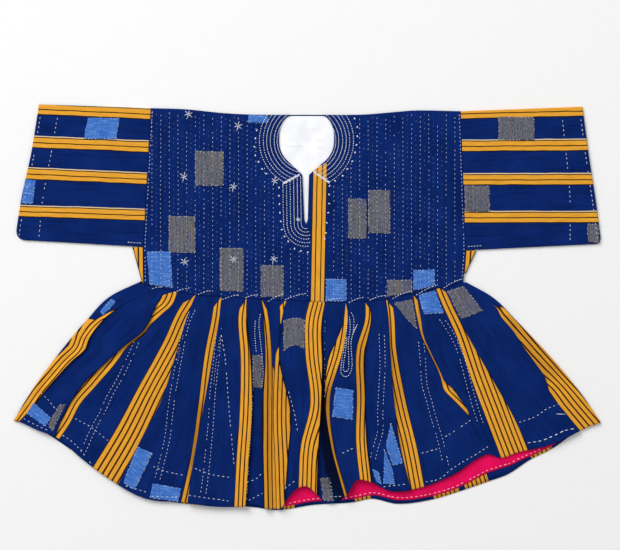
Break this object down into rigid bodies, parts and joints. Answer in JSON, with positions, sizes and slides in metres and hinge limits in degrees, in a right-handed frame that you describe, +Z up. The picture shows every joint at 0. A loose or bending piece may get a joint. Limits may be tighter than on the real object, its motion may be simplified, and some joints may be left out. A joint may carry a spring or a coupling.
{
  "type": "fugu smock",
  "caption": "Short wide handwoven cotton smock laid flat, quilted indigo body, straight sleeves, keyhole neck and a pleated flared skirt with striped bands and patches.",
  "frame": {"origin": "middle of the garment's plan, on the surface it lies on", "axes": "+X across the garment towards the sleeve on the viewer's right, +Y from the hem towards the neck, +Z up through the cloth"},
  "size_m": [1.2908, 0.8914, 0.021],
  "materials": {
    "indigo_body": "handwoven indigo cotton, quilted with white running stitch",
    "sleeve_cloth": "handwoven indigo cotton with yellow and black stripes",
    "skirt_cloth": "handwoven indigo cotton with yellow and black striped bands",
    "striped_gusset": "handwoven yellow and black striped cotton",
    "white_cotton": "plain white cotton lining",
    "pink_cotton": "plain pink cotton facing",
    "blue_chambray": "light blue chambray patch",
    "grey_stripe": "fine grey striped handwoven patch"
  },
  "bodies": {
    "root": {"body_back": "indigo_body", "back_lining": "white_cotton", "body_front": "indigo_body", "sleeve_left": "sleeve_cloth", "sleeve_right": "sleeve_cloth", "gusset_left": "striped_gusset", "gusset_right": "striped_gusset", "skirt_back": "skirt_cloth", "hem_facing": "pink_cotton", "skirt_front": "skirt_cloth", "patch_sleeve_left_top": "blue_chambray", "patch_sleeve_left_cuff": "blue_chambray", "patch_shoulder": "blue_chambray", "patch_side_left": "blue_chambray", "patch_low_centre": "blue_chambray", "patch_waist_right": "blue_chambray", "patch_skirt_left_edge": "blue_chambray", "patch_skirt_left_hem": "blue_chambray", "patch_skirt_lower_left": "blue_chambray", "patch_skirt_hem_left": "blue_chambray", "patch_skirt_middle": "blue_chambray", "patch_skirt_low_strip": "blue_chambray", "patch_skirt_low_kite": "blue_chambray", "patch_skirt_low_tail": "blue_chambray", "patch_skirt_waist_blue": "blue_chambray", "patch_sleeve_right_top": "grey_stripe", "patch_sleeve_right_seam": "grey_stripe", "patch_sleeve_right_cuff": "grey_stripe", "patch_upper_left": "grey_stripe", "patch_middle_left": "grey_stripe", "patch_low_left": "grey_stripe", "patch_low_middle": "grey_stripe", "patch_upper_right": "grey_stripe", "patch_middle_right": "grey_stripe", "patch_low_right": "grey_stripe", "patch_skirt_left_fold": "grey_stripe", "patch_skirt_pocket_left": "grey_stripe", "patch_skirt_centre": "grey_stripe", "patch_skirt_valley": "grey_stripe", "patch_skirt_waist_grey": "grey_stripe", "patch_skirt_waist_right": "grey_stripe"}
  },
  "joints": []
}
